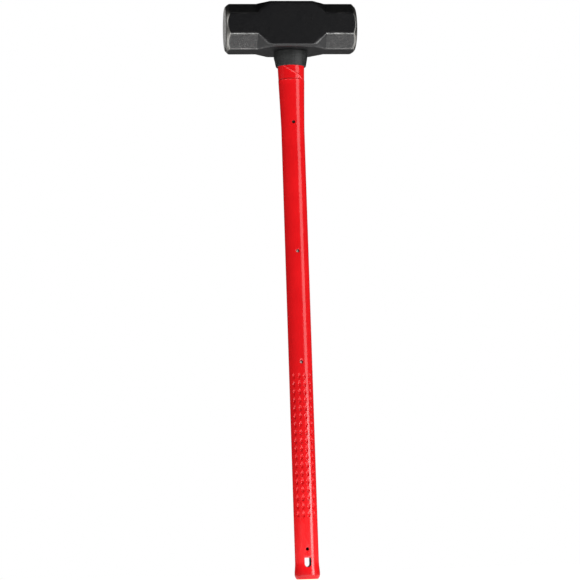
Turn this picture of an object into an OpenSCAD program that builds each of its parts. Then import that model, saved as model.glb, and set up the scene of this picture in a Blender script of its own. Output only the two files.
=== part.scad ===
// Double-faced sledgehammer with a fibreglass handle.
// The butt stands on z = 0, the handle runs up +Z and the head lies along X at the top.
// Sections of the handle are ovals: wide along X, the swing direction, and thinner along Y.

/* [Head] */
// Length of the head from striking face to striking face
head_len = 208; // [180:1:240]
// Height and depth of the square bar that the head is forged from
head_bar = 74; // [66:1:84]
// Width of each flat of the octagonal ends
end_flat = 33; // [28:1:36]
// Distance from the middle of the head to where an octagonal end begins
end_start = 54; // [48:1:64]
// Distance from the middle of the head to where the cheek's full corner begins
cheek_half = 35; // [30:1:42]
// Rounding of the cheek's long corners
cheek_round = 5; // [2:0.5:8]
// Width of the ground bevel round each striking face, at the middle of a flat
face_bevel = 3; // [1.5:0.5:6]

/* [Eye] */
// Width of the eye at its waist
eye_w = 40; // [36:1:44]
// How much wider the eye is at its top and bottom mouths
eye_flare = 5; // [1:0.5:8]
// Height of each flared mouth
eye_mouth = 16; // [8:1:28]
// Depth of the resin's surface below the top of the head
resin_below = 3; // [0:0.5:10]

/* [Handle] */
// Height of the whole hammer
total_h = 900; // [760:1:920]
// Width of the handle along its straight part
handle_w = 36.6; // [34:0.2:40]
// Thickness of every oval section as a share of its width
oval = 0.75; // [0.7:0.01:0.85]
// Width of the fibreglass core
core_w = 27; // [22:0.5:28]
// Height of the core's lower end above the floor
core_start = 62; // [58:1:90]
// Height of the core's upper end above the resin's surface
core_proud = 1.5; // [0.5:0.5:2.5]

/* [Neck] */
// Width of the neck where it meets the head
neck_w = 44.4; // [40:0.2:44.8]
// Length of the tapered neck
neck_len = 126; // [100:1:180]
// Length of the recessed top of the neck, measured down from the head
sleeve_len = 47; // [40:1:60]
// Depth of the recess
sleeve_step = 0.3; // [0.2:0.1:0.8]

/* [Butt] */
// Widest part of the butt
butt_w = 39.3; // [38:0.1:43]
// Height of the flare from the floor to the straight handle
butt_len = 26; // [22:1:34]
// Width of the chamfer round the bottom edge
butt_chamfer_w = 2.8; // [1:0.1:5]
// Height of that chamfer
butt_chamfer_h = 5.8; // [3:0.2:9]

/* [Collar] */
// Height of the rubber collar
collar_h = 25; // [18:1:30]
// Height of the collar's straight upper band
collar_band = 9; // [4:1:14]
// Width of the collar's upper band
collar_top_w = 54; // [51:0.5:58]
// Width of the collar at its lower lip
collar_lip_w = 48; // [47:0.5:50]
// Rounding of the collar's two outer edges
collar_round = 1.5; // [0.5:0.5:2]

/* [Openings] */
// Width of the hang slot
slot_w = 10; // [8:0.5:12]
// Height of the hang slot from its round bottom to its flat top
slot_h = 14; // [12:0.5:18]
// Height of the slot's lowest point above the floor
slot_z = 18.6; // [14:0.2:20]
// Diameter of the holes that the mould's locating pins left in the jacket
pin_d = 5.2; // [3:0.2:7]
// Height of the lowest pin hole, which ends blind in solid plastic
low_pin_z = 46; // [42:1:50]
// Depth of that blind hole from each side of the handle
low_pin_depth = 12; // [4:0.5:12]

/* [Hidden] */
$fn = 120;

cut = 1;
arc_steps = 8;
curve_steps = 10;
half_bar = head_bar / 2;
half_len = head_len / 2;
half_flat = end_flat / 2;
head_z = total_h - half_bar;
head_bottom = total_h - head_bar;
resin_top = total_h - resin_below;
face_r = half_bar - face_bevel;
handle_r = handle_w / 2;
neck_r = neck_w / 2;
butt_r = butt_w / 2;
neck_start = head_bottom - neck_len;
sleeve_z = head_bottom - sleeve_len;
lip_z = head_bottom - collar_h;
collar_top_r = collar_top_w / 2;
collar_lip_r = collar_lip_w / 2;
slot_r = slot_w / 2;
// Heights of the three pin holes that end on the core, as shares of the handle's length
pin_shares = [0.402, 0.612, 0.86];

// 0 to 1, level at both ends
function soften(t) = t * t * (3 - 2 * t);
// Half width of the neck at height z, before the recess of its top part
function neck_half(z) =
    let (t = (z - neck_start) / neck_len)
    handle_r + (neck_r - handle_r) * t * (1 - 0.35 * pow(1 - t, 2));
// Points of a quarter turn round a centre, from one angle to another
function turn(centre, radius, from, to) =
    [for (i = [0:arc_steps])
        let (a = from + (to - from) * i / arc_steps)
        centre + radius * [cos(a), sin(a)]];

// Turns a half profile round the handle's axis and flattens it to the oval section
module oval_turn() {
    scale([1, oval, 1]) rotate_extrude() children();
}

// The same for a thin wall, as two half turns that meet at the sides
module oval_ring() {
    for (side = [0, 180])
        scale([1, oval, 1]) rotate([0, 0, side]) rotate_extrude(angle = 180) children();
}

module oval_rod(width, z_low, z_high) {
    translate([0, 0, z_low])
        scale([1, oval, 1]) cylinder(d = width, h = z_high - z_low);
}

// Bar of square section with rounded long corners, along X
module cheek_bar() {
    corner = half_bar - cheek_round;
    cube([head_len, head_bar, 2 * corner], center = true);
    cube([head_len, 2 * corner, head_bar], center = true);
    for (y = [-corner, corner], z = [-corner, corner])
        translate([-half_len, y, z]) rotate([0, 90, 0]) cylinder(r = cheek_round, h = head_len);
}

// What comes off one corner of one end: a chamfer that runs out in a three-cornered shoulder
module corner_cut() {
    tip = half_bar * sqrt(2);
    leg = (half_bar - half_flat) / sqrt(2);
    rotate([45, 0, 0]) rotate([90, 0, 0])
        linear_extrude(height = 2 * head_bar, center = true)
            polygon([
                [cheek_half, tip],
                [end_start, tip - leg],
                [half_len + cut, tip - leg],
                [half_len + cut, tip + half_bar],
                [cheek_half, tip + half_bar]]);
}

// Turned envelope whose conical ends are the ground bevels
module bevel_envelope() {
    outer_r = head_bar;
    cone_len = outer_r - face_r;
    rotate([0, 90, 0]) {
        translate([0, 0, cone_len - half_len])
            cylinder(r = outer_r, h = head_len - 2 * cone_len);
        for (side = [0, 1]) mirror([0, 0, side])
            translate([0, 0, half_len - cone_len])
                cylinder(r1 = outer_r, r2 = face_r, h = cone_len);
    }
}

// Oval eye, narrowest at its waist so that the set resin cannot pull out
module eye_shape() {
    mouth_d = eye_w + eye_flare;
    scale([1, oval, 1]) {
        translate([0, 0, head_bottom - cut]) cylinder(d = eye_w, h = head_bar + 2 * cut);
        translate([0, 0, head_bottom]) cylinder(d1 = mouth_d, d2 = eye_w, h = eye_mouth);
        translate([0, 0, total_h - eye_mouth]) cylinder(d1 = eye_w, d2 = mouth_d, h = eye_mouth);
    }
}

module pin_holes() {
    for (share = pin_shares)
        translate([0, 0, share * head_bottom])
            rotate([90, 0, 0]) cylinder(d = pin_d, h = 2 * handle_w, center = true);
    for (side = [0, 1]) mirror([0, side, 0])
        translate([0, low_pin_depth - handle_r * oval, low_pin_z])
            rotate([90, 0, 0]) cylinder(d = pin_d, h = handle_w);
}

// Slot through the butt with a half-round bottom and a square top
module hang_slot() {
    round_z = slot_z + slot_r;
    translate([0, 0, round_z]) {
        rotate([90, 0, 0]) cylinder(r = slot_r, h = 2 * handle_w, center = true);
        translate([-slot_r, -handle_w, 0]) cube([slot_w, 2 * handle_w, slot_h - slot_r]);
    }
}

// The profile runs on a little below the floor, where floor_cut trims it to a true plane
module jacket_profile() {
    flare = [for (i = [1:curve_steps])
        let (t = i / curve_steps)
        [butt_r + (handle_r - butt_r) * soften(t),
         butt_chamfer_h + (butt_len - butt_chamfer_h) * t]];
    neck = [for (i = [0:curve_steps])
        let (z = neck_start + (sleeve_z - neck_start) * i / curve_steps)
        [neck_half(z), z]];
    polygon(concat(
        [[0, -cut],
         [butt_r - butt_chamfer_w, -cut],
         [butt_r - butt_chamfer_w, 0],
         [butt_r, butt_chamfer_h]],
        flare,
        neck,
        [[neck_half(sleeve_z) - sleeve_step, sleeve_z],
         [neck_half(lip_z) - sleeve_step, lip_z],
         [neck_r - sleeve_step, head_bottom],
         [0, head_bottom]]));
}

module floor_cut() {
    translate([-handle_w, -handle_w, -2 * cut]) cube([2 * handle_w, 2 * handle_w, 2 * cut]);
}

module collar_profile() {
    r = collar_round;
    polygon(concat(
        [[neck_half(lip_z) - sleeve_step, lip_z]],
        turn([collar_lip_r - r, lip_z + r], r, -90, 0),
        [[collar_top_r, head_bottom - collar_band]],
        turn([collar_top_r - r, head_bottom - r], r, 0, 90),
        [[neck_r - sleeve_step, head_bottom]]));
}

module head() {
    color([0.16, 0.16, 0.17]) difference() {
        translate([0, 0, head_z]) intersection() {
            difference() {
                cheek_bar();
                for (end = [0, 1], turn_x = [0:90:270])
                    mirror([end, 0, 0]) rotate([turn_x, 0, 0]) corner_cut();
            }
            bevel_envelope();
        }
        eye_shape();
    }
}

module handle_core() {
    color([0.86, 0.82, 0.70]) oval_rod(core_w, core_start, resin_top + core_proud);
}

module handle_jacket() {
    color([0.93, 0.11, 0.12]) difference() {
        oval_turn() jacket_profile();
        oval_rod(core_w, core_start, head_bottom + cut);
        pin_holes();
        hang_slot();
        floor_cut();
    }
}

module eye_resin() {
    color([0.30, 0.26, 0.20]) difference() {
        intersection() {
            eye_shape();
            oval_rod(3 * eye_w, head_bottom, resin_top);
        }
        oval_rod(core_w, head_bottom - cut, total_h);
    }
}

module collar() {
    color([0.21, 0.22, 0.22]) oval_ring() collar_profile();
}

head();
handle_core();
handle_jacket();
eye_resin();
collar();
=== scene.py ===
import math

import bmesh
import bpy
import numpy as np
from mathutils import Matrix, Vector


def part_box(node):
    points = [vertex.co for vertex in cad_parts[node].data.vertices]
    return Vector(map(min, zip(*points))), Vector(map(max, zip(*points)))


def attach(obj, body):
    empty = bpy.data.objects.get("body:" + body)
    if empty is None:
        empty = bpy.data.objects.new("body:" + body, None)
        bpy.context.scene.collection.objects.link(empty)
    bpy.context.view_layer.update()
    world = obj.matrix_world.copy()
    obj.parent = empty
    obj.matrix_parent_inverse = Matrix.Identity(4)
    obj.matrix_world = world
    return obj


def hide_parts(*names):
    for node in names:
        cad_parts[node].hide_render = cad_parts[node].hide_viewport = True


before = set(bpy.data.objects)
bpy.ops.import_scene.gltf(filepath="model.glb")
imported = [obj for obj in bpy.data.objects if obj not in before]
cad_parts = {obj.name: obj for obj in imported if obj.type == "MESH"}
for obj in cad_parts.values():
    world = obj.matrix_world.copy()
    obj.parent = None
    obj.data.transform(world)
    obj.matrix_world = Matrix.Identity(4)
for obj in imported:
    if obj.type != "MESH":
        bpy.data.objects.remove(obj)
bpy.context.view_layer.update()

MM = 0.001
FULL_TURN = 2 * math.pi

# ---------------------------------------------------------------- sizes
# The boxes come from the frame. The other sizes of the head, eye, handle and openings are the
# CAD part's, and the small details are the visual model's own.
HEAD_LOW, HEAD_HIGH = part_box("head")
CORE_LOW, CORE_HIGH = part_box("handle_core")
RESIN_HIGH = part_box("eye_resin")[1]
COLLAR_LOW, COLLAR_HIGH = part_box("collar")

HALF_LEN = HEAD_HIGH.x
HALF_BAR = HEAD_HIGH.y
HEAD_BOTTOM = HEAD_LOW.z
HEAD_TOP = HEAD_HIGH.z
HEAD_MID = (HEAD_BOTTOM + HEAD_TOP) / 2
OVAL = CORE_HIGH.y / CORE_HIGH.x

# Head
HALF_FLAT = 16.5 * MM
END_START = 54 * MM
CHEEK_HALF = 35 * MM
CHEEK_ROUND = 5 * MM
EDGE_ROUND = 1.2 * MM
FACE_BEVEL = 3 * MM
FACE_RADIUS = HALF_BAR - FACE_BEVEL
FACE_CROWN = 0.5 * MM
FORGE_DEPTH = 0.14 * MM
BEVEL_BLEND = 0.3 * MM
FACE_BLEND = 0.4 * MM
WEAR_REACH = (2.2 * MM, 0.2 * MM)
CROWN_REACH = 12 * MM

# Eye
EYE_HALF = 20 * MM
EYE_MOUTH_HALF = RESIN_HIGH.x
EYE_MOUTH = 16 * MM
EYE_CHAMFER = 1.0 * MM
CUTTER_OVER = 2 * MM
RESIN_DIP = 0.9 * MM
RESIN_RIPPLE = 0.12 * MM

# Handle. CHAMFER_BULGE is a point on the butt's chamfer, as shares of its width and height
BUTT_HALF = 19.65 * MM
BUTT_CHAMFER_W = 2.8 * MM
BUTT_CHAMFER_H = 5.8 * MM
BUTT_LEN = 26 * MM
CHAMFER_BULGE = (0.3, 0.55)
HANDLE_HALF = 18.3 * MM
NECK_HALF = 22.2 * MM
NECK_LEN = 126 * MM
NECK_START = HEAD_BOTTOM - NECK_LEN
SLEEVE_Z = HEAD_BOTTOM - 47 * MM
SLEEVE_STEP = 0.3 * MM
LIP_Z = COLLAR_LOW.z
LIP_HALF = 24 * MM

# Collar
COLLAR_BAND_Z = HEAD_BOTTOM - 9 * MM
LIP_ROUND = 1.7 * MM
FLANK_ROUND = 4 * MM
SHOULDER_ROUND = 1.6 * MM
COLLAR_MEAN_HALF = 25 * MM
PUCKER_UPRIGHT = 0.24 * MM
PUCKER_LEVEL = 0.16 * MM

# Openings, with the size of their soft rims and how near an outline a point counts as on its wall
SLOT_HALF = 5 * MM
SLOT_LOW = 18.6 * MM
SLOT_HIGH = 32.6 * MM
PIN_RADIUS = 2.6 * MM
PIN_HEIGHTS = [share * HEAD_BOTTOM for share in (0.402, 0.612, 0.86)]
LOW_PIN_Z = 46 * MM
LOW_PIN_DEPTH = 12 * MM
SLOT_RIM = 0.5 * MM
PIN_RIM = 0.2 * MM
WALL_REACH = 0.12 * MM

# Painted shade, from 0 to 1, in the slot, on the pin holes' walls and in the crease above the bead. The
# unshaded middle of a pin hole's floor is shifted down and to the left, and the painted shadow round it
# fades out behind the jacket
SLOT_PAINTED_SHADE = 0.95
CREASE_PAINTED_SHADE = 0.4
UNSHADED_RADIUS = 1.6 * MM
UNSHADED_SHIFT = 0.5 * MM
UNSHADED_EDGE = 0.4 * MM
RING_FADE = (0.3 * MM, 0.8 * MM)

# Grip dimples: rows up the handle, four columns on the front and four on the back
DIMPLE_ROWS = 18
DIMPLE_FIRST = 97.8 * MM
DIMPLE_PITCH = 12.5 * MM
DIMPLE_ANGLES = (-43, -14, 13, 42)
DIMPLE_HALF_W = 1.95 * MM
DIMPLE_HALF_H = 3.9 * MM
DIMPLE_DEPTH = 1.0 * MM
GRIP_GUARD = 0.5 * MM
GRIP_RADIUS = 16 * MM

# Mould seam down both sides
SEAM_HEIGHT = 0.1 * MM
SEAM_HALF_W = 0.35 * MM

# Slanting ridge moulded on the front of the neck, on a line through two points at (degrees, height).
# It fades in and out between angles in degrees. RIDGE_LEAN turns a height into a distance across it
RIDGE_START = (-38, 801.8 * MM)
RIDGE_END = (56, 779.4 * MM)
RIDGE_HALF_W = 1.3 * MM
RIDGE_HEIGHT = 0.8 * MM
RIDGE_FADE_IN = (-60, -48)
RIDGE_FADE_OUT = (RIDGE_END[0], RIDGE_END[0] + 8)
RIDGE_LEAN = 0.8

# Bead round the front of the neck, fading in and out between these angles in degrees
BEAD_HALF_H = 0.9 * MM
BEAD_HEIGHT = 0.25 * MM
BEAD_FADE_IN = (-75, -60)
BEAD_FADE_OUT = (34, 46)

# Gaps that keep a piece a hair clear of its neighbour, and the smallest length that counts
CORE_GAP = 0.04 * MM
RESIN_GAP = 0.03 * MM
COLLAR_GAP = 0.04 * MM
TINY = 1e-9


# ---------------------------------------------------------------- mesh helpers
def smoothstep(low, high, value):
    t = np.clip((value - low) / (high - low), 0.0, 1.0)
    return t * t * (3 - 2 * t)


def spans(*pieces):
    """Values from several (start, end, step) stretches, joined end to end."""
    values = []
    for start, end, step in pieces:
        count = max(1, round(abs(end - start) / step))
        values.extend(np.linspace(start, end, count, endpoint=False))
    values.append(pieces[-1][1])
    return np.array(values)


def ring_mesh(name, rings, start=None, end=None, loop=False):
    """A closed mesh from rings of equally many points.

    A point closes each end, or else the last ring joins the first.
    """
    rows, columns = rings.shape[:2]
    points = rings.reshape(-1, 3).tolist()
    index = np.arange(rows * columns).reshape(rows, columns)
    beside = np.roll(index, -1, axis=1)
    low, high = index[:-1], index[1:]
    low_next, high_next = beside[:-1], beside[1:]
    quads = np.stack([low, low_next, high_next, high], axis=-1).reshape(-1, 4).tolist()
    if loop:
        quads += np.stack([index[-1], beside[-1], beside[0], index[0]], axis=-1).tolist()
    for tip, row in ((start, 0), (end, rows - 1)):
        if tip is not None:
            points.append(list(tip))
            fan = len(points) - 1
            quads += [[int(a), int(b), fan] for a, b in zip(index[row], beside[row])]
    mesh = bpy.data.meshes.new(name)
    mesh.from_pydata(points, [], quads)
    outward(mesh)
    piece = bpy.data.objects.new(name, mesh)
    bpy.context.scene.collection.objects.link(piece)
    return piece


def outward(mesh):
    work = bmesh.new()
    work.from_mesh(mesh)
    bmesh.ops.recalc_face_normals(work, faces=work.faces)
    work.to_mesh(mesh)
    work.free()


def smooth(piece, sharp_degrees=40):
    piece.data.shade_smooth()
    piece.data.set_sharp_from_angle(angle=math.radians(sharp_degrees))


def carve(piece, *cutters):
    """Cuts closed shapes out of a piece and keeps the result as its mesh."""
    for cutter in cutters:
        cut = piece.modifiers.new("cut", "BOOLEAN")
        cut.operation = "DIFFERENCE"
        cut.solver = "MANIFOLD"
        cut.object = cutter
    graph = bpy.context.evaluated_depsgraph_get()
    mesh = bpy.data.meshes.new_from_object(piece.evaluated_get(graph), depsgraph=graph)
    piece.modifiers.clear()
    piece.data = mesh
    for cutter in cutters:
        bpy.data.objects.remove(cutter)


def store(mesh, name, values):
    attribute = mesh.attributes.new(name, "FLOAT", "POINT")
    attribute.data.foreach_set("value", np.asarray(values, np.float32))


def fillet(points, radius, steps=5):
    """A (half width, height) polyline with every corner between its ends rounded."""
    points = [np.array(p, float) for p in points]
    result = [points[0]]
    for before, corner, after in zip(points, points[1:], points[2:]):
        to_before, to_after = before - corner, after - corner
        reach = min(radius, np.linalg.norm(to_before) / 2, np.linalg.norm(to_after) / 2)
        a = corner + to_before / np.linalg.norm(to_before) * reach
        b = corner + to_after / np.linalg.norm(to_after) * reach
        for i in range(steps + 1):
            t = i / steps
            result.append(a * (1 - t) ** 2 + corner * 2 * t * (1 - t) + b * t * t)
    result.append(points[-1])
    return np.array(result)


def refine(profile, limit):
    """Adds points along a profile so that no step is longer than limit(height)."""
    result = [profile[0]]
    for a, b in zip(profile, profile[1:]):
        count = max(1, math.ceil(np.linalg.norm(b - a) / limit((a[1] + b[1]) / 2)))
        result.extend(a + (b - a) * (i + 1) / count for i in range(count))
    return np.array(result)


def full_turn(columns=96):
    return np.linspace(0, FULL_TURN, columns, endpoint=False)


def oval_rings(profile, angles):
    """Turns a (half width, height) profile into oval rings. Angle 0 faces -Y and 90 degrees faces +X."""
    half, height = profile[:, 0][:, None], profile[:, 1][:, None]
    x = half * np.sin(angles)
    y = -half * OVAL * np.cos(angles)
    return np.stack([x, y, height + 0 * x], axis=-1)


def waves(x, y, z, seed, scale):
    """Smooth repeatable unevenness from -1 to 1: the mean of sine waves in fixed directions."""
    random = np.random.default_rng(seed)
    count = 9
    total = 0
    for _ in range(count):
        direction = random.normal(size=3)
        direction /= np.linalg.norm(direction)
        wave = random.uniform(0.6, 1.8) * FULL_TURN / scale
        total = total + np.sin((x * direction[0] + y * direction[1] + z * direction[2]) * wave
                               + random.uniform(0, FULL_TURN))
    return total / count


# ---------------------------------------------------------------- head
def head_distances(x, radius, angle):
    """Signed distances to the planes and cones that bound the head, one layer each."""
    y, z = radius * np.cos(angle), radius * np.sin(angle)
    flats = [y - HALF_BAR, -y - HALF_BAR, z - HALF_BAR, -z - HALF_BAR]
    tip = HALF_BAR * math.sqrt(2)
    leg = (HALF_BAR - HALF_FLAT) / math.sqrt(2)
    run = np.minimum((np.abs(x) - CHEEK_HALF) / (END_START - CHEEK_HALF), 1.0)
    chamfer = tip - leg * run
    diagonals = [(sy * y + sz * z) / math.sqrt(2) - chamfer for sy in (1, -1) for sz in (1, -1)]
    cone = (radius - FACE_RADIUS - (HALF_LEN - np.abs(x))) / math.sqrt(2)
    face = np.abs(x) - HALF_LEN + 0 * radius
    return np.stack(flats + diagonals + [cone, face])


def head_radius(x, angle):
    """Distance from the head's axis to its surface, with every edge rounded."""
    edge = CHEEK_ROUND + (EDGE_ROUND - CHEEK_ROUND) * smoothstep(CHEEK_HALF, END_START, np.abs(x))
    halvings = 30
    low = np.zeros(np.broadcast(x, angle).shape)
    high = low + 2 * HALF_BAR
    for _ in range(halvings):
        middle = (low + high) / 2
        over = np.maximum(head_distances(x, middle, angle) + edge, 0)
        outside = np.sqrt((over ** 2).sum(axis=0)) > edge
        high = np.where(outside, middle, high)
        low = np.where(outside, low, middle)
    return low


def eye_cutter():
    """The eye's shape, with a small chamfer at its top mouth."""
    half, mouth, over = EYE_HALF, EYE_MOUTH_HALF, CUTTER_OVER
    profile = np.array([
        (mouth, HEAD_BOTTOM - over),
        (mouth, HEAD_BOTTOM),
        (half, HEAD_BOTTOM + EYE_MOUTH),
        (half, HEAD_TOP - EYE_MOUTH),
        (mouth, HEAD_TOP - EYE_CHAMFER),
        (mouth + EYE_CHAMFER + over, HEAD_TOP + over)])
    rings = oval_rings(refine(profile, lambda z: 4 * MM), full_turn())
    return ring_mesh("eye_cutter", rings, (0, 0, HEAD_BOTTOM - over), (0, 0, HEAD_TOP + over))


def make_head():
    # Degrees round a quadrant, close together at the octagon's corners and the cheek's corner
    quadrant = np.radians(spans(
        (0, 22.4, 1.9), (22.4, 25.6, 0.4), (25.6, 39, 1.9), (39, 51, 0.8),
        (51, 64.4, 1.9), (64.4, 67.6, 0.4), (67.6, 90, 1.9)))[:-1]
    angle = np.concatenate([quadrant + math.pi / 2 * k for k in range(4)])
    # Distances along the head from its middle, close together at the shoulders and near a face
    ends = np.linspace(0, 1, 7)[1:]
    half = np.concatenate([
        spans((0, CHEEK_HALF - 3 * MM, 2 * MM), (CHEEK_HALF - 3 * MM, END_START - 2 * MM, 1 * MM),
              (END_START - 2 * MM, END_START + 2 * MM, 0.5 * MM),
              (END_START + 2 * MM, HALF_LEN - 9 * MM, 1.8 * MM),
              (HALF_LEN - 9 * MM, HALF_LEN - EDGE_ROUND, 0.4 * MM)),
        HALF_LEN - EDGE_ROUND * (1 - np.sin(ends * math.pi / 2))])
    x = np.concatenate([-half[:0:-1], half])[:, None]
    angle = angle[None, :]
    radius = head_radius(x, angle)
    x = x + 0 * radius
    # Rings on the faces, shrinking towards their middles
    caps = np.array([0.94, 0.8, 0.6, 0.35, 0.12])[:, None]
    radius = np.concatenate([radius[:1] * caps[::-1], radius, radius[-1:] * caps])
    x = np.concatenate([x[:1] + 0 * caps, x, x[-1:] + 0 * caps])
    angle = angle + 0 * radius

    # A point is on the surface with the highest distance. The second highest says how near an edge is.
    layers = head_distances(x, radius, angle)
    ordered = np.sort(layers[:-1], axis=0)
    ground = smoothstep(-BEVEL_BLEND, BEVEL_BLEND, layers[-2] - np.max(layers[:-2], axis=0))
    ground = np.maximum(ground, smoothstep(-FACE_BLEND, 0.0, layers[-1]))
    edge = smoothstep(-WEAR_REACH[0], -WEAR_REACH[1], ordered[-2])
    others = np.max(np.concatenate([layers[:4], layers[8:9]]), axis=0)
    rubbed = smoothstep(-0.4 * MM, 0.4 * MM, np.max(layers[4:8], axis=0) - others)
    rubbed = rubbed * smoothstep(END_START - 0.6 * MM, END_START + 0.6 * MM, np.abs(x))

    y, z = radius * np.cos(angle), radius * np.sin(angle)
    uneven = waves(x, y, z, 4, 22 * MM) * 0.6 + waves(x, y, z, 9, 7 * MM) * 0.4
    radius = radius - FORGE_DEPTH * (1 - ground) * (0.5 + 0.5 * uneven)
    near_end = smoothstep(HALF_LEN - CROWN_REACH, HALF_LEN, np.abs(x))
    x = x - np.sign(x) * FACE_CROWN * near_end * (radius / FACE_RADIUS) ** 2
    rings = np.stack([x, radius * np.cos(angle), HEAD_MID + radius * np.sin(angle)], axis=-1)
    head = ring_mesh("steel_head", rings, (-HALF_LEN, 0, HEAD_MID), (HALF_LEN, 0, HEAD_MID))
    store(head.data, "ground", np.append(ground.ravel(), [1, 1]))
    store(head.data, "edge", np.append(edge.ravel(), [0, 0]))
    store(head.data, "rubbed", np.append(rubbed.ravel(), [0, 0]))
    carve(head, eye_cutter())
    smooth(head, sharp_degrees=38)
    return head


# ---------------------------------------------------------------- handle
def neck_half(z):
    t = np.clip((z - NECK_START) / NECK_LEN, 0, 1)
    return HANDLE_HALF + (NECK_HALF - HANDLE_HALF) * t * (1 - 0.35 * (1 - t) ** 2)


def flare_half(t):
    return BUTT_HALF + (HANDLE_HALF - BUTT_HALF) * t * t * (3 - 2 * t)


def jacket_profile():
    core = CORE_HIGH.x
    butt = fillet([
        (0.4 * BUTT_HALF, 0),
        (BUTT_HALF - BUTT_CHAMFER_W, 0),
        (BUTT_HALF - CHAMFER_BULGE[0] * BUTT_CHAMFER_W, CHAMFER_BULGE[1] * BUTT_CHAMFER_H),
        (BUTT_HALF, BUTT_CHAMFER_H),
        (flare_half(0.25), BUTT_CHAMFER_H + 0.25 * (BUTT_LEN - BUTT_CHAMFER_H))], 0.6 * MM)
    flare = [(flare_half(t), BUTT_CHAMFER_H + t * (BUTT_LEN - BUTT_CHAMFER_H))
             for t in np.linspace(0.3, 1, 9)]
    neck = [(neck_half(z), z) for z in np.linspace(NECK_START, SLEEVE_Z - 1 * MM, 12)]
    sleeve = fillet([
        neck[-1],
        (neck_half(SLEEVE_Z), SLEEVE_Z),
        (neck_half(SLEEVE_Z) - SLEEVE_STEP, SLEEVE_Z + 0.3 * MM),
        (neck_half(SLEEVE_Z + 4 * MM) - SLEEVE_STEP, SLEEVE_Z + 4 * MM)], 0.25 * MM, 3)
    top = [(neck_half(z) - SLEEVE_STEP, z) for z in np.linspace(SLEEVE_Z + 6 * MM, HEAD_BOTTOM, 6)]
    cavity = [(core, HEAD_BOTTOM), (core, CORE_LOW.z)]
    return np.concatenate([butt, flare, neck, sleeve[1:], top, cavity])


def row_limit(z):
    """Longest step between rows at a height: short where there is detail."""
    if SLEEVE_Z - 2 * MM < z < LIP_Z + 2 * MM:
        return 0.45 * MM
    if SLOT_LOW - 3 * MM < z < SLOT_HIGH + 3 * MM:
        return 1.2 * MM
    if any(abs(z - pin) < 4 * MM for pin in PIN_HEIGHTS + [LOW_PIN_Z]):
        return 1.4 * MM
    return 9 * MM


def dimple_depth(angle, z):
    total = 0
    for row in range(DIMPLE_ROWS):
        up = (z - DIMPLE_FIRST - row * DIMPLE_PITCH) / DIMPLE_HALF_H
        for side in (0, 180):
            for column in DIMPLE_ANGLES:
                turn = angle - math.radians(column + side)
                turn = (turn + math.pi) % FULL_TURN - math.pi
                across = turn * GRIP_RADIUS / DIMPLE_HALF_W
                total = total + DIMPLE_DEPTH * smoothstep(0, 0.5, 1 - across ** 2 - up ** 2)
    return total


def signed_degrees(angle):
    """An angle in radians as degrees from -180 to 180."""
    return np.degrees((angle + math.pi) % FULL_TURN - math.pi)


def ridge_height(angle, z):
    """The slanting moulded ridge under the collar."""
    turn = signed_degrees(angle)
    slope = (RIDGE_END[1] - RIDGE_START[1]) / (RIDGE_END[0] - RIDGE_START[0])
    across = (z - RIDGE_START[1] - (turn - RIDGE_START[0]) * slope) * RIDGE_LEAN
    inside = smoothstep(*RIDGE_FADE_IN, turn) * (1 - smoothstep(*RIDGE_FADE_OUT, turn))
    ridge = RIDGE_HEIGHT * np.maximum(1 - (across / RIDGE_HALF_W) ** 2, 0)
    return ridge * inside * smoothstep(SLEEVE_Z, SLEEVE_Z + 1 * MM, z)


def bead_reach(angle):
    """1 where the bead runs round the front of the neck, 0 elsewhere."""
    turn = signed_degrees(angle)
    return smoothstep(*BEAD_FADE_IN, turn) * (1 - smoothstep(*BEAD_FADE_OUT, turn))


def bead_height(angle, z):
    """A low bead round the front, at the step where the recessed top of the neck begins."""
    across = (z - SLEEVE_Z) / BEAD_HALF_H
    return BEAD_HEIGHT * np.maximum(1 - across ** 2, 0) * bead_reach(angle)


def surface_depth(x, z):
    """Distance from the handle's middle plane to its front surface at (x, z)."""
    up_flare = np.clip((z - BUTT_CHAMFER_H) / (BUTT_LEN - BUTT_CHAMFER_H), 0, 1)
    half = np.where(z < BUTT_LEN, flare_half(up_flare), neck_half(z))
    return OVAL * np.sqrt(np.maximum(half ** 2 - x ** 2, 0))


def opening_cutter(name, outline, rim, depth=None):
    """Cutters along Y with softly rounded rims.

    outline(grow) gives the (x, z) points, grown by that much. Without a depth one cutter goes right
    through, and with a depth there are two, one into the front and one into the back.
    """
    rings = []
    for side in (-1, 1):
        # Each step is (depth below the surface, growth of the outline)
        steps = [(-2 * MM, 2.2 * rim + 1.6 * MM), (0, rim), (0.35 * rim, 0.3 * rim), (1.1 * rim, 0)]
        if depth is not None:
            steps += [(depth - 0.6 * MM, 0), (depth, -0.5 * MM)]
        loops = []
        for below, grow in steps:
            flat = outline(grow)
            y = surface_depth(flat[:, 0], flat[:, 1]) - below
            loops.append(np.stack([flat[:, 0], side * y, flat[:, 1]], axis=-1))
        rings.append(loops if side < 0 else loops[::-1])
    middle = outline(0).mean(axis=0)
    if depth is None:
        rings = np.array(rings[0] + rings[1])
        tips = [(middle[0], y, middle[1]) for y in (rings[0][:, 1].mean(), rings[-1][:, 1].mean())]
        return [ring_mesh(name, rings, *tips)]
    result = []
    for loops in rings:
        loops = np.array(loops)
        tips = [(middle[0], y, middle[1]) for y in (loops[0][:, 1].mean(), loops[-1][:, 1].mean())]
        result.append(ring_mesh(name, loops, *tips))
    return result


def pin_outline(z):
    """The outline of the round pin hole at height z."""
    turn = full_turn(32)

    def outline(grow):
        reach = PIN_RADIUS + grow
        return np.stack([reach * np.cos(turn), z + reach * np.sin(turn)], axis=-1)

    return outline


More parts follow.
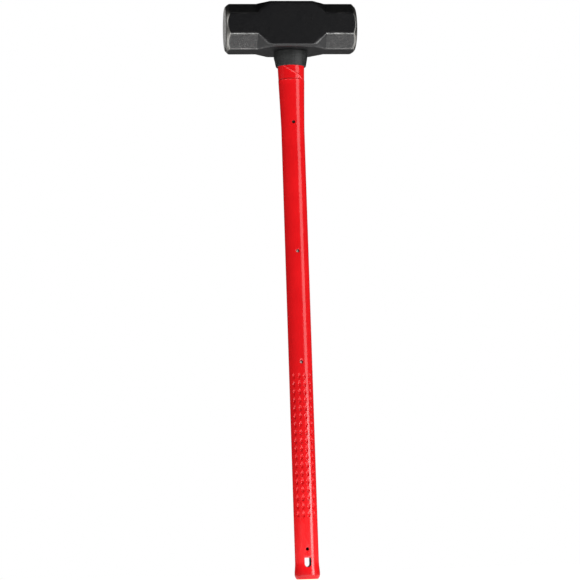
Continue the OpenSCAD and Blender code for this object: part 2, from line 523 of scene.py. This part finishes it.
def slot_outline(grow):
    """Half round at the bottom, square at the top with small corner radii."""
    half, corner = SLOT_HALF + grow, 0.7 * MM
    bottom = np.radians(np.linspace(180, 360, 25))
    points = [(half * math.cos(a), SLOT_LOW + SLOT_HALF + half * math.sin(a)) for a in bottom]
    for centre_x, from_degrees in ((half - corner, 0), (corner - half, 90)):
        for a in np.radians(np.linspace(from_degrees, from_degrees + 90, 5)):
            z = SLOT_HIGH + grow - corner + corner * math.sin(a)
            points.append((centre_x + corner * math.cos(a), z))
    return np.array(points)


def grip_heights():
    """Heights of the grip's rows of points: nine to a dimple, one between dimples, one past each end."""
    through = np.array((-1.04, -0.9, -0.72, -0.4, 0, 0.4, 0.72, 0.9, 1.04))
    middles = DIMPLE_FIRST + np.arange(DIMPLE_ROWS) * DIMPLE_PITCH
    between = DIMPLE_FIRST + (np.arange(DIMPLE_ROWS - 1) + 0.5) * DIMPLE_PITCH
    heights = np.sort(np.append((middles[:, None] + DIMPLE_HALF_H * through).ravel(), between))
    return np.concatenate([[heights[0] - GRIP_GUARD], heights, [heights[-1] + GRIP_GUARD]])


def make_jacket():
    # Columns of points, in degrees: fine through the dimples and coarse between them
    fine, coarse = 1.2, 2.2
    reach = 8
    marks = [-90]
    for column in DIMPLE_ANGLES:
        marks += [column - reach, column + reach]
    marks.append(90)
    stretches = [(a, b, fine if i % 2 else coarse) for i, (a, b) in enumerate(zip(marks, marks[1:]))]
    front = spans(*stretches)[:-1]
    angle = np.radians(np.concatenate([front, front + 180]))

    profile = refine(jacket_profile(), row_limit)
    outer_rows = int(np.argmax(profile[:, 1] >= HEAD_BOTTOM - TINY))
    grip_z = grip_heights()
    outside, inside = profile[:outer_rows + 1], profile[outer_rows + 1:]
    kept = outside[(outside[:, 1] < grip_z[0] - 1 * MM) | (outside[:, 1] > grip_z[-1] + 1 * MM)]
    grip = np.stack([neck_half(grip_z), grip_z], axis=-1)
    outside = np.concatenate([kept, grip])
    outside = outside[np.argsort(outside[:, 1], kind="stable")]
    flat = outside[:, 1] <= TINY
    outside[flat] = outside[flat][np.argsort(outside[flat][:, 0])]

    rings = oval_rings(outside, angle)
    x, y, z = rings[..., 0], rings[..., 1], rings[..., 2]
    normal = np.stack([x * OVAL ** 2, y], axis=-1)
    normal /= np.maximum(np.linalg.norm(normal, axis=-1, keepdims=True), TINY)
    seam = SEAM_HEIGHT * np.exp(-(y / SEAM_HALF_W) ** 2) * (z > 2 * BUTT_CHAMFER_H)
    move = ridge_height(angle, z) + bead_height(angle, z) - dimple_depth(angle, z) + seam
    rings[..., 0] += normal[..., 0] * move
    rings[..., 1] += normal[..., 1] * move
    rings = np.concatenate([rings, oval_rings(inside, angle)])
    jacket = ring_mesh("jacket", rings, (0, 0, 0), (0, 0, CORE_LOW.z))

    cutters = opening_cutter("slot_cutter", slot_outline, SLOT_RIM)
    for pin in PIN_HEIGHTS:
        cutters += opening_cutter("pin_cutter", pin_outline(pin), PIN_RIM)
    cutters += opening_cutter("low_pin_cutter", pin_outline(LOW_PIN_Z), PIN_RIM, LOW_PIN_DEPTH)
    carve(jacket, *cutters)
    smooth(jacket, sharp_degrees=42)
    # Painted shade: darkens the walls of the pin holes and the slot, and the crease above the bead
    store(jacket.data, "painted_shade", opening_painted_shade(jacket.data))
    return jacket


def opening_painted_shade(mesh):
    """How much painted shade a point gets: the walls of the pin holes and the slot, and the crease above
    the bead.
    """
    points = np.empty(3 * len(mesh.vertices), np.float32)
    mesh.vertices.foreach_get("co", points)
    x, y, z = points.reshape(-1, 3).T
    depth = surface_depth(x, z) - np.abs(y)
    wall = 0
    for pin in PIN_HEIGHTS + [LOW_PIN_Z]:
        wall = wall + (np.hypot(x, z - pin) < PIN_RADIUS + WALL_REACH)
    outer_wall = np.abs(y) > CORE_HIGH.y - 1.5 * MM
    low = z < CORE_LOW.z
    pins = wall * (outer_wall | low) * smoothstep(0.15 * MM, 0.9 * MM, depth)
    slot = (np.abs(x) < SLOT_HALF + WALL_REACH) & (z > SLOT_LOW - WALL_REACH)
    slot = slot & (z < SLOT_HIGH + WALL_REACH)
    above = z - SLEEVE_Z
    crease = smoothstep(0.3 * MM, 0.9 * MM, above) * (1 - smoothstep(1.4 * MM, 2.2 * MM, above))
    crease = CREASE_PAINTED_SHADE * crease * bead_reach(np.arctan2(x * OVAL, -y))
    return np.clip(pins + crease + SLOT_PAINTED_SHADE * slot * smoothstep(0.25 * MM, 0.5 * MM, depth), 0, 1)


def make_core():
    half = CORE_HIGH.x - CORE_GAP
    low, high = CORE_LOW.z, CORE_HIGH.z
    profile = fillet([(0.5 * half, low), (half, low), (half, high), (0.5 * half, high)], 0.5 * MM, 3)
    profile = refine(profile, lambda z: 12 * MM)
    core = ring_mesh("fibreglass_core", oval_rings(profile, full_turn()), (0, 0, low), (0, 0, high))
    smooth(core)
    return core


def make_resin():
    """Fills the eye round the core. Its top creeps a little up the steel and the core, as it set."""
    top = RESIN_HIGH.z
    wall_at_top = EYE_MOUTH_HALF - (HEAD_TOP - top) / EYE_MOUTH * (EYE_MOUTH_HALF - EYE_HALF)
    inner = CORE_HIGH.x
    across = np.linspace(0, 1, 14)
    surface = [(inner + (wall_at_top - inner) * t,
                top - RESIN_DIP * (1 - (2 * t - 1) ** 4)) for t in across]
    outer = [
        (EYE_HALF, HEAD_TOP - EYE_MOUTH),
        (EYE_HALF, HEAD_BOTTOM + EYE_MOUTH),
        (EYE_MOUTH_HALF, HEAD_BOTTOM)]
    profile = np.array(surface + outer + [(inner, HEAD_BOTTOM)])
    wall = len(surface) - 1
    profile[wall:-1, 0] -= RESIN_GAP
    rings = oval_rings(profile, full_turn())
    x, y = rings[1:wall, :, 0], rings[1:wall, :, 1]
    rings[1:wall, :, 2] += RESIN_RIPPLE * waves(x, y, 0 * x, 21, 9 * MM)
    resin = ring_mesh("eye_resin_fill", rings, loop=True)
    smooth(resin)
    return resin


def make_collar():
    """Rubber sleeve: a rounded lip, a swelling flank, a straight band and a rounded shoulder."""
    lip, shoulder, top_half = LIP_Z, COLLAR_HIGH.z, COLLAR_HIGH.x

    def neck(z):
        return neck_half(z) - SLEEVE_STEP + COLLAR_GAP

    lip_turn = fillet([
        (neck(lip), lip + 0.3 * MM),
        (LIP_HALF - 0.3 * MM, lip),
        (LIP_HALF + 0.5 * MM, lip + 4 * MM)], LIP_ROUND)
    flank = fillet([
        lip_turn[-1],
        (top_half, COLLAR_BAND_Z),
        (top_half - 0.1 * MM, shoulder - 1 * MM)], FLANK_ROUND, 8)
    top_turn = fillet([(top_half - 0.1 * MM, shoulder - 3 * MM), (top_half - 0.3 * MM, shoulder),
                       (neck(shoulder) + 2 * MM, shoulder)], SHOULDER_ROUND)
    inside = [(neck(z), z) for z in np.linspace(shoulder, lip + 1.2 * MM, 8)]
    profile = np.concatenate([lip_turn[:-1], flank[:-1], top_turn, inside])
    profile = refine(profile, lambda z: 1.2 * MM)
    rings = oval_rings(profile, full_turn(200))
    x, y, z = rings[..., 0], rings[..., 1], rings[..., 2]
    outer = smoothstep(0.2 * MM, 1.5 * MM, np.sqrt(x ** 2 + (y / OVAL) ** 2) - neck(z))
    upright = PUCKER_UPRIGHT * waves(x, y, z * 0.35, 31, 6 * MM)
    level = PUCKER_LEVEL * (1 + waves(x * 0.3, y * 0.3, z, 37, 5 * MM))
    pucker = outer * (upright - level)
    rings[..., 0] = x * (1 + pucker / COLLAR_MEAN_HALF)
    rings[..., 1] = y * (1 + pucker / COLLAR_MEAN_HALF)
    collar = ring_mesh("rubber_collar", rings, loop=True)
    smooth(collar, sharp_degrees=50)
    return collar


# ---------------------------------------------------------------- materials
# Colours, as (dark, light) where the material varies between two
COAT = ((0.0045, 0.0045, 0.0054), (0.0090, 0.0090, 0.0098))
COAT_CLOUD = (0.0105, 0.0103, 0.0105)
COAT_FLECK = (0.34, 0.34, 0.33)
STEEL = ((0.36, 0.35, 0.325), (0.56, 0.55, 0.52))
STEEL_TARNISH = (0.36, 0.32, 0.27)
PLASTIC = ((0.78, 0.0070, 0.0100), (0.85, 0.0090, 0.0120))
# Dark red painted as shade on the walls of the openings and in the crease above the bead
PLASTIC_PAINTED_SHADE = (0.012, 0.004, 0.004)
RUBBER = ((0.0068, 0.0076, 0.0075), (0.0116, 0.0126, 0.0124))
RUBBER_CLOUD = (0.0170, 0.0188, 0.0180)
RUBBER_STREAK = (0.0030, 0.0034, 0.0033)
GLASS = ((0.80, 0.78, 0.70), (0.93, 0.92, 0.88))
GLASS_PATCH = (0.66, 0.60, 0.46)
GLASS_TOP_BROWN = (0.045, 0.020, 0.010)
# Painted shadow at the rims of the pin holes' floors
GLASS_PAINTED_SHADOW = (0.012, 0.010, 0.010)
EPOXY = ((0.13, 0.085, 0.040), (0.25, 0.175, 0.090))
EPOXY_BUBBLE = (0.34, 0.27, 0.17)

# Roughness, from and to
COAT_ROUGH = (0.26, 0.40)
STEEL_ROUGH = (0.24, 0.38)
PLASTIC_ROUGH = (0.12, 0.19)
SCUFF_ROUGH = (0, 0.08)
# Roughness where the shade is painted
PAINTED_SHADE_ROUGH = 0.75
RUBBER_ROUGH = (0.46, 0.60)
GLASS_ROUGH = (0.35, 0.55)
EPOXY_ROUGH = (0.14, 0.28)

# How much the edges and the rubbed chamfers add to the fleck noise, and where flecks begin and are full
EDGE_WEAR = (0.04, 0.15)
CHAMFER_WEAR = 0.09
FLECK_RANGE = (0.655, 0.72)

# Heights in metres between which the rod turns brown, and how far that line wanders
TOP_BROWN_RANGE = (0.60, 0.66)
TOP_BROWN_WANDER = (-0.02, 0.02)


class Nodes:
    """A material's node tree, with short calls for the nodes used here."""

    def __init__(self, name):
        self.material = bpy.data.materials.new(name)
        self.material.use_nodes = True
        self.tree = self.material.node_tree
        self.shader = self.tree.nodes["Principled BSDF"]
        self.place = self.tree.nodes.new("ShaderNodeTexCoord").outputs["Object"]

    def link(self, source, target):
        self.tree.links.new(source, target)

    def set(self, **values):
        for key, value in values.items():
            self.shader.inputs[key.replace("_", " ")].default_value = value

    def math(self, operation, a, b=0.0):
        node = self.tree.nodes.new("ShaderNodeMath")
        node.operation = operation
        for socket, value in zip(node.inputs, (a, b)):
            if isinstance(value, (int, float)):
                socket.default_value = value
            else:
                self.link(value, socket)
        return node.outputs[0]

    def length(self, a, b):
        squares = self.math("ADD", self.math("MULTIPLY", a, a), self.math("MULTIPLY", b, b))
        return self.math("SQRT", squares)

    def axes(self):
        """The object's own x, y and z at a point."""
        node = self.tree.nodes.new("ShaderNodeSeparateXYZ")
        self.link(self.place, node.inputs[0])
        return node.outputs

    def stretch(self, scale):
        node = self.tree.nodes.new("ShaderNodeMapping")
        node.inputs["Scale"].default_value = scale
        self.link(self.place, node.inputs["Vector"])
        return node.outputs[0]

    def noise(self, scale, detail=4.0, roughness=0.55, vector=None):
        node = self.tree.nodes.new("ShaderNodeTexNoise")
        node.inputs["Scale"].default_value = scale
        node.inputs["Detail"].default_value = detail
        node.inputs["Roughness"].default_value = roughness
        self.link(self.place if vector is None else vector, node.inputs["Vector"])
        return node.outputs["Fac"]

    def spread(self, value, low, high, to_low=0.0, to_high=1.0):
        node = self.tree.nodes.new("ShaderNodeMapRange")
        self.link(value, node.inputs["Value"])
        for key, number in (("From Min", low), ("From Max", high),
                            ("To Min", to_low), ("To Max", to_high)):
            node.inputs[key].default_value = number
        return node.outputs[0]

    def mix(self, factor, a, b, colour=True):
        node = self.tree.nodes.new("ShaderNodeMix")
        node.data_type = "RGBA" if colour else "FLOAT"
        first = 6 if colour else 2
        self.link(factor, node.inputs[0])
        for socket, value in ((node.inputs[first], a), (node.inputs[first + 1], b)):
            if isinstance(value, (int, float)):
                socket.default_value = value
            elif isinstance(value, tuple):
                socket.default_value = (*value, 1.0)
            else:
                self.link(value, socket)
        return node.outputs[2 if colour else 0]

    def attribute(self, name):
        node = self.tree.nodes.new("ShaderNodeAttribute")
        node.attribute_name = name
        return node.outputs["Fac"]

    def bump(self, height, distance, strength):
        node = self.tree.nodes.new("ShaderNodeBump")
        node.inputs["Distance"].default_value = distance
        node.inputs["Strength"].default_value = strength
        self.link(height, node.inputs["Height"])
        self.link(node.outputs["Normal"], self.shader.inputs["Normal"])

    def colour(self, value):
        self.link(value, self.shader.inputs["Base Color"])

    def roughness(self, value):
        self.link(value, self.shader.inputs["Roughness"])

    def metallic(self, value):
        self.link(value, self.shader.inputs["Metallic"])


def forged_steel():
    """Black forging finish with bare steel at the ground ends.

    Flecks of bare steel also show through on the rubbed chamfers and along the edges.
    """
    n = Nodes("forged_steel")
    n.set(IOR=1.5)
    grain = n.noise(560, 6, 0.7)
    cloud = n.noise(60, 4)
    flecks = n.noise(2100, 4, 0.7, n.stretch((0.6, 1, 1)))
    coat = n.mix(n.spread(grain, 0.3, 0.7), *COAT)
    coat = n.mix(n.spread(cloud, 0.45, 0.75, 0, 0.5), coat, COAT_CLOUD)
    worn = n.math("MULTIPLY", n.attribute("edge"), n.spread(cloud, 0.35, 0.65, *EDGE_WEAR))
    worn = n.math("ADD", worn, n.math("MULTIPLY", n.attribute("rubbed"), CHAMFER_WEAR))
    bare = n.spread(n.math("ADD", flecks, worn), *FLECK_RANGE)
    x, y, z = n.axes()
    turned = n.tree.nodes.new("ShaderNodeCombineXYZ")
    n.link(x, turned.inputs[0])
    n.link(n.length(y, n.math("SUBTRACT", z, HEAD_MID)), turned.inputs[1])
    marks = n.noise(2600, 3, 0.6, turned.outputs[0])
    steel = n.mix(n.spread(marks, 0.3, 0.7), *STEEL)
    steel = n.mix(n.spread(cloud, 0.5, 0.8, 0, 0.6), steel, STEEL_TARNISH)
    ground = n.math("ADD", n.attribute("ground"), n.spread(grain, 0.3, 0.7, -0.28, 0.28))
    ground = n.spread(ground, 0.42, 0.58)
    finish = n.mix(bare, coat, COAT_FLECK)
    n.colour(n.mix(ground, finish, steel))
    n.metallic(n.math("MAXIMUM", ground, bare))
    coat_rough = n.spread(grain, 0.3, 0.7, *COAT_ROUGH)
    steel_rough = n.spread(marks, 0.3, 0.7, *STEEL_ROUGH)
    n.roughness(n.mix(ground, coat_rough, steel_rough, colour=False))
    n.bump(n.mix(ground, grain, marks, colour=False), 0.16 * MM, 0.9)
    return n.material


def red_plastic():
    """Glossy moulded plastic: faint flow clouding, a fine orange-peel skin, handling haze and scuffs."""
    n = Nodes("red_plastic")
    n.set(IOR=1.49)
    cloud = n.noise(26, 3)
    skin = n.mix(n.spread(cloud, 0.35, 0.65), *PLASTIC)
    # Painted shade darkens the walls of the openings and the crease above the bead
    n.colour(n.mix(n.attribute("painted_shade"), skin, PLASTIC_PAINTED_SHADE))
    haze = n.noise(140, 5, 0.7)
    scuffs = n.noise(1.0, 5, 0.7, n.stretch((900, 900, 120)))
    rough = n.spread(haze, 0.35, 0.7, *PLASTIC_ROUGH)
    rough = n.math("ADD", rough, n.spread(scuffs, 0.6, 0.8, *SCUFF_ROUGH))
    n.roughness(n.mix(n.attribute("painted_shade"), rough, PAINTED_SHADE_ROUGH, colour=False))
    peel = n.noise(420, 2)
    n.bump(peel, 0.05 * MM, 0.5)
    return n.material


def rubber():
    """Dull black rubber, cloudy and streaked."""
    n = Nodes("rubber")
    n.set(IOR=1.52)
    speck = n.noise(1500, 4, 0.7)
    cloud = n.noise(90, 4)
    base = n.mix(n.spread(speck, 0.3, 0.7), *RUBBER)
    base = n.mix(n.spread(cloud, 0.45, 0.75, 0, 0.6), base, RUBBER_CLOUD)
    streaks = n.noise(1.0, 3, 0.6, n.stretch((170, 170, 420)))
    n.colour(n.mix(n.spread(streaks, 0.48, 0.60, 0, 0.85), base, RUBBER_STREAK))
    n.roughness(n.spread(cloud, 0.3, 0.7, *RUBBER_ROUGH))
    n.bump(speck, 0.06 * MM, 0.6)
    return n.material


def pin_floor_painted_shadow(n, x, z):
    """1 round the rim of each pin hole's floor, a painted shadow of the hole's wall, and 0 elsewhere on
    the rod.
    """
    total = 0.0
    for pin in PIN_HEIGHTS:
        from_unshaded = n.length(n.math("ADD", x, UNSHADED_SHIFT), n.math("SUBTRACT", z, pin - UNSHADED_SHIFT))
        from_hole = n.length(x, n.math("SUBTRACT", z, pin))
        past_unshaded = n.spread(from_unshaded, UNSHADED_RADIUS, UNSHADED_RADIUS + UNSHADED_EDGE)
        in_hole = n.spread(from_hole, PIN_RADIUS + RING_FADE[0], PIN_RADIUS + RING_FADE[1], 1, 0)
        total = n.math("ADD", n.math("MULTIPLY", past_unshaded, in_hole), total)
    return total


def fibreglass():
    """Pale resin with long glass fibres along the rod, dark brown towards its top, with a painted shadow
    round the rims of the pin holes' floors.
    """
    n = Nodes("fibreglass")
    n.set(IOR=1.53)
    fibres = n.noise(1.0, 4, 0.65, n.stretch((2600, 2600, 30)))
    patch = n.noise(70, 3)
    base = n.mix(n.spread(fibres, 0.35, 0.65), *GLASS)
    base = n.mix(n.spread(patch, 0.4, 0.8, 0, 0.3), base, GLASS_PATCH)
    x, _, z = n.axes()
    brown_height = n.math("ADD", z, n.spread(patch, 0.3, 0.7, *TOP_BROWN_WANDER))
    base = n.mix(n.spread(brown_height, *TOP_BROWN_RANGE), base, GLASS_TOP_BROWN)
    # Painted shadow of the hole walls round the rims of the pin holes' floors
    n.colour(n.mix(pin_floor_painted_shadow(n, x, z), base, GLASS_PAINTED_SHADOW))
    n.roughness(n.spread(fibres, 0.3, 0.7, *GLASS_ROUGH))
    n.bump(fibres, 0.05 * MM, 0.6)
    return n.material


def eye_epoxy():
    """Set epoxy: amber brown, nearly smooth, with small bubbles."""
    n = Nodes("eye_epoxy")
    n.set(IOR=1.55)
    cell = n.tree.nodes.new("ShaderNodeTexVoronoi")
    cell.inputs["Scale"].default_value = 420
    n.link(n.place, cell.inputs["Vector"])
    cloud = n.noise(130, 5)
    bubble = n.spread(cell.outputs["Distance"], 0, 0.28)
    base = n.mix(n.spread(cloud, 0.3, 0.7), *EPOXY)
    n.colour(n.mix(bubble, EPOXY_BUBBLE, base))
    n.roughness(n.spread(cloud, 0.3, 0.7, *EPOXY_ROUGH))
    n.bump(bubble, 0.12 * MM, 0.6)
    return n.material


# ---------------------------------------------------------------- pieces
def place(piece, material, node):
    piece.data.materials.clear()
    piece.data.materials.append(material)
    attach(piece, "root")
    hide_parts(node)


place(make_head(), forged_steel(), "head")
place(make_jacket(), red_plastic(), "handle_jacket")
place(make_core(), fibreglass(), "handle_core")
place(make_resin(), eye_epoxy(), "eye_resin")
place(make_collar(), rubber(), "collar")

# ---------------------------------------------------------------- studio
# The camera was fitted to the photo. Its place is in metres, its angles in degrees, its lens in mm
CAMERA_AT = (-0.37292, -3.03719, 0.030)
CAMERA_YAW = 6.7638
CAMERA_PITCH = 7.7449
CAMERA_ROLL = -1.834
LENS = 123.144
SENSOR = 36.0

# The studio's glow fades from the horizon's to the overhead one between two heights of direction
HORIZON_GLOW = 0.06
OVERHEAD_GLOW = 0.01
GLOW_FROM, GLOW_TO = -0.1, 0.55

FLOOR_SIDE, FLOOR_FRONT, FLOOR_BACK = 3.2, 3.6, 1.3
FLOOR_GLOW = 0.98

# Name, place, target, width, height and radiance of each light
LIGHTS = (
    ("right_strip", (1.16, -1.24, 0.55), (0, 0, 0.55), 0.72, 2.0, 2.7),
    ("right_strip_low", (1.15, -1.23, 0.16), (0, 0, 0.16), 0.5, 0.46, 6.0),
    ("front_panel", (-0.3, -1.55, 0.004), (-0.3, -1.55, 1), 3.4, 0.9, 3.0),
    ("foot_strip", (0, -0.09, 0.004), (0, -0.09, 1), 0.5, 0.12, 1.8),
    ("left_card", (-1.1, -0.25, 1.32), (0, 0, 0.9), 0.7, 0.45, 1.3),
    ("right_card", (1.2, 0.1, 1.32), (0, 0, 0.9), 0.7, 0.45, 0.25),
    ("back_card", (-0.35, 2.2, 1.60), (-0.1, 0, 0.86), 1.0, 0.5, 0.6))


def make_camera():
    yaw, pitch, roll = (math.radians(v) for v in (CAMERA_YAW, CAMERA_PITCH, CAMERA_ROLL))
    forward = Vector((math.sin(yaw) * math.cos(pitch), math.cos(yaw) * math.cos(pitch), math.sin(pitch)))
    level = Vector((math.cos(yaw), -math.sin(yaw), 0))
    upward = level.cross(forward)
    right = level * math.cos(roll) + upward * math.sin(roll)
    up = upward * math.cos(roll) - level * math.sin(roll)
    data = bpy.data.cameras.new("camera")
    data.lens, data.sensor_width = LENS, SENSOR
    camera = bpy.data.objects.new("camera", data)
    turn = Matrix((right, up, -forward)).transposed().to_4x4()
    camera.matrix_world = Matrix.Translation(CAMERA_AT) @ turn
    bpy.context.scene.collection.objects.link(camera)
    bpy.context.scene.camera = camera


def softbox(name, at, target, width, height, radiance):
    """A rectangular area light, unseen by the camera. Its size doesn't change how bright it looks."""
    data = bpy.data.lights.new(name, "AREA")
    data.shape, data.size, data.size_y = "RECTANGLE", width, height
    data.energy = radiance * math.pi * width * height
    light = bpy.data.objects.new(name, data)
    light.location = at
    light.rotation_euler = (Vector(target) - Vector(at)).to_track_quat("-Z", "Y").to_euler()
    light.visible_camera = False
    bpy.context.scene.collection.objects.link(light)


def make_floor():
    """A pale floor that glows softly, like a light table."""
    mesh = bpy.data.meshes.new("studio_floor")
    corners = [(-FLOOR_SIDE, -FLOOR_FRONT, 0), (FLOOR_SIDE, -FLOOR_FRONT, 0),
               (FLOOR_SIDE, FLOOR_BACK, 0), (-FLOOR_SIDE, FLOOR_BACK, 0)]
    mesh.from_pydata(corners, [], [(0, 1, 2, 3)])
    floor = bpy.data.objects.new("studio_floor", mesh)
    bpy.context.scene.collection.objects.link(floor)
    n = Nodes("studio_floor")
    n.set(Base_Color=(0.8, 0.8, 0.8, 1), Roughness=0.9)
    n.set(Emission_Color=(1, 1, 1, 1), Emission_Strength=FLOOR_GLOW)
    mesh.materials.append(n.material)


def make_world():
    """A plain white backdrop to look at, and a dim studio to be lit by: nearly black overhead."""
    world = bpy.data.worlds.new("studio")
    bpy.context.scene.world = world
    world.use_nodes = True
    tree = world.node_tree
    sky = tree.nodes["Background"]
    direction = tree.nodes.new("ShaderNodeTexCoord")
    split = tree.nodes.new("ShaderNodeSeparateXYZ")
    tree.links.new(direction.outputs["Generated"], split.inputs[0])
    ramp = tree.nodes.new("ShaderNodeMapRange")
    tree.links.new(split.outputs[2], ramp.inputs["Value"])
    for key, number in (("From Min", GLOW_FROM), ("From Max", GLOW_TO),
                        ("To Min", HORIZON_GLOW), ("To Max", OVERHEAD_GLOW)):
        ramp.inputs[key].default_value = number
    path = tree.nodes.new("ShaderNodeLightPath")
    pick = tree.nodes.new("ShaderNodeMix")
    tree.links.new(path.outputs["Is Camera Ray"], pick.inputs[0])
    tree.links.new(ramp.outputs[0], pick.inputs[2])
    pick.inputs[3].default_value = 1.0
    tree.links.new(pick.outputs[0], sky.inputs["Strength"])
    sky.inputs["Color"].default_value = (1, 1, 1, 1)


make_camera()
make_floor()
make_world()
for light in LIGHTS:
    softbox(*light)
bpy.context.scene.view_settings.view_transform = "Standard"
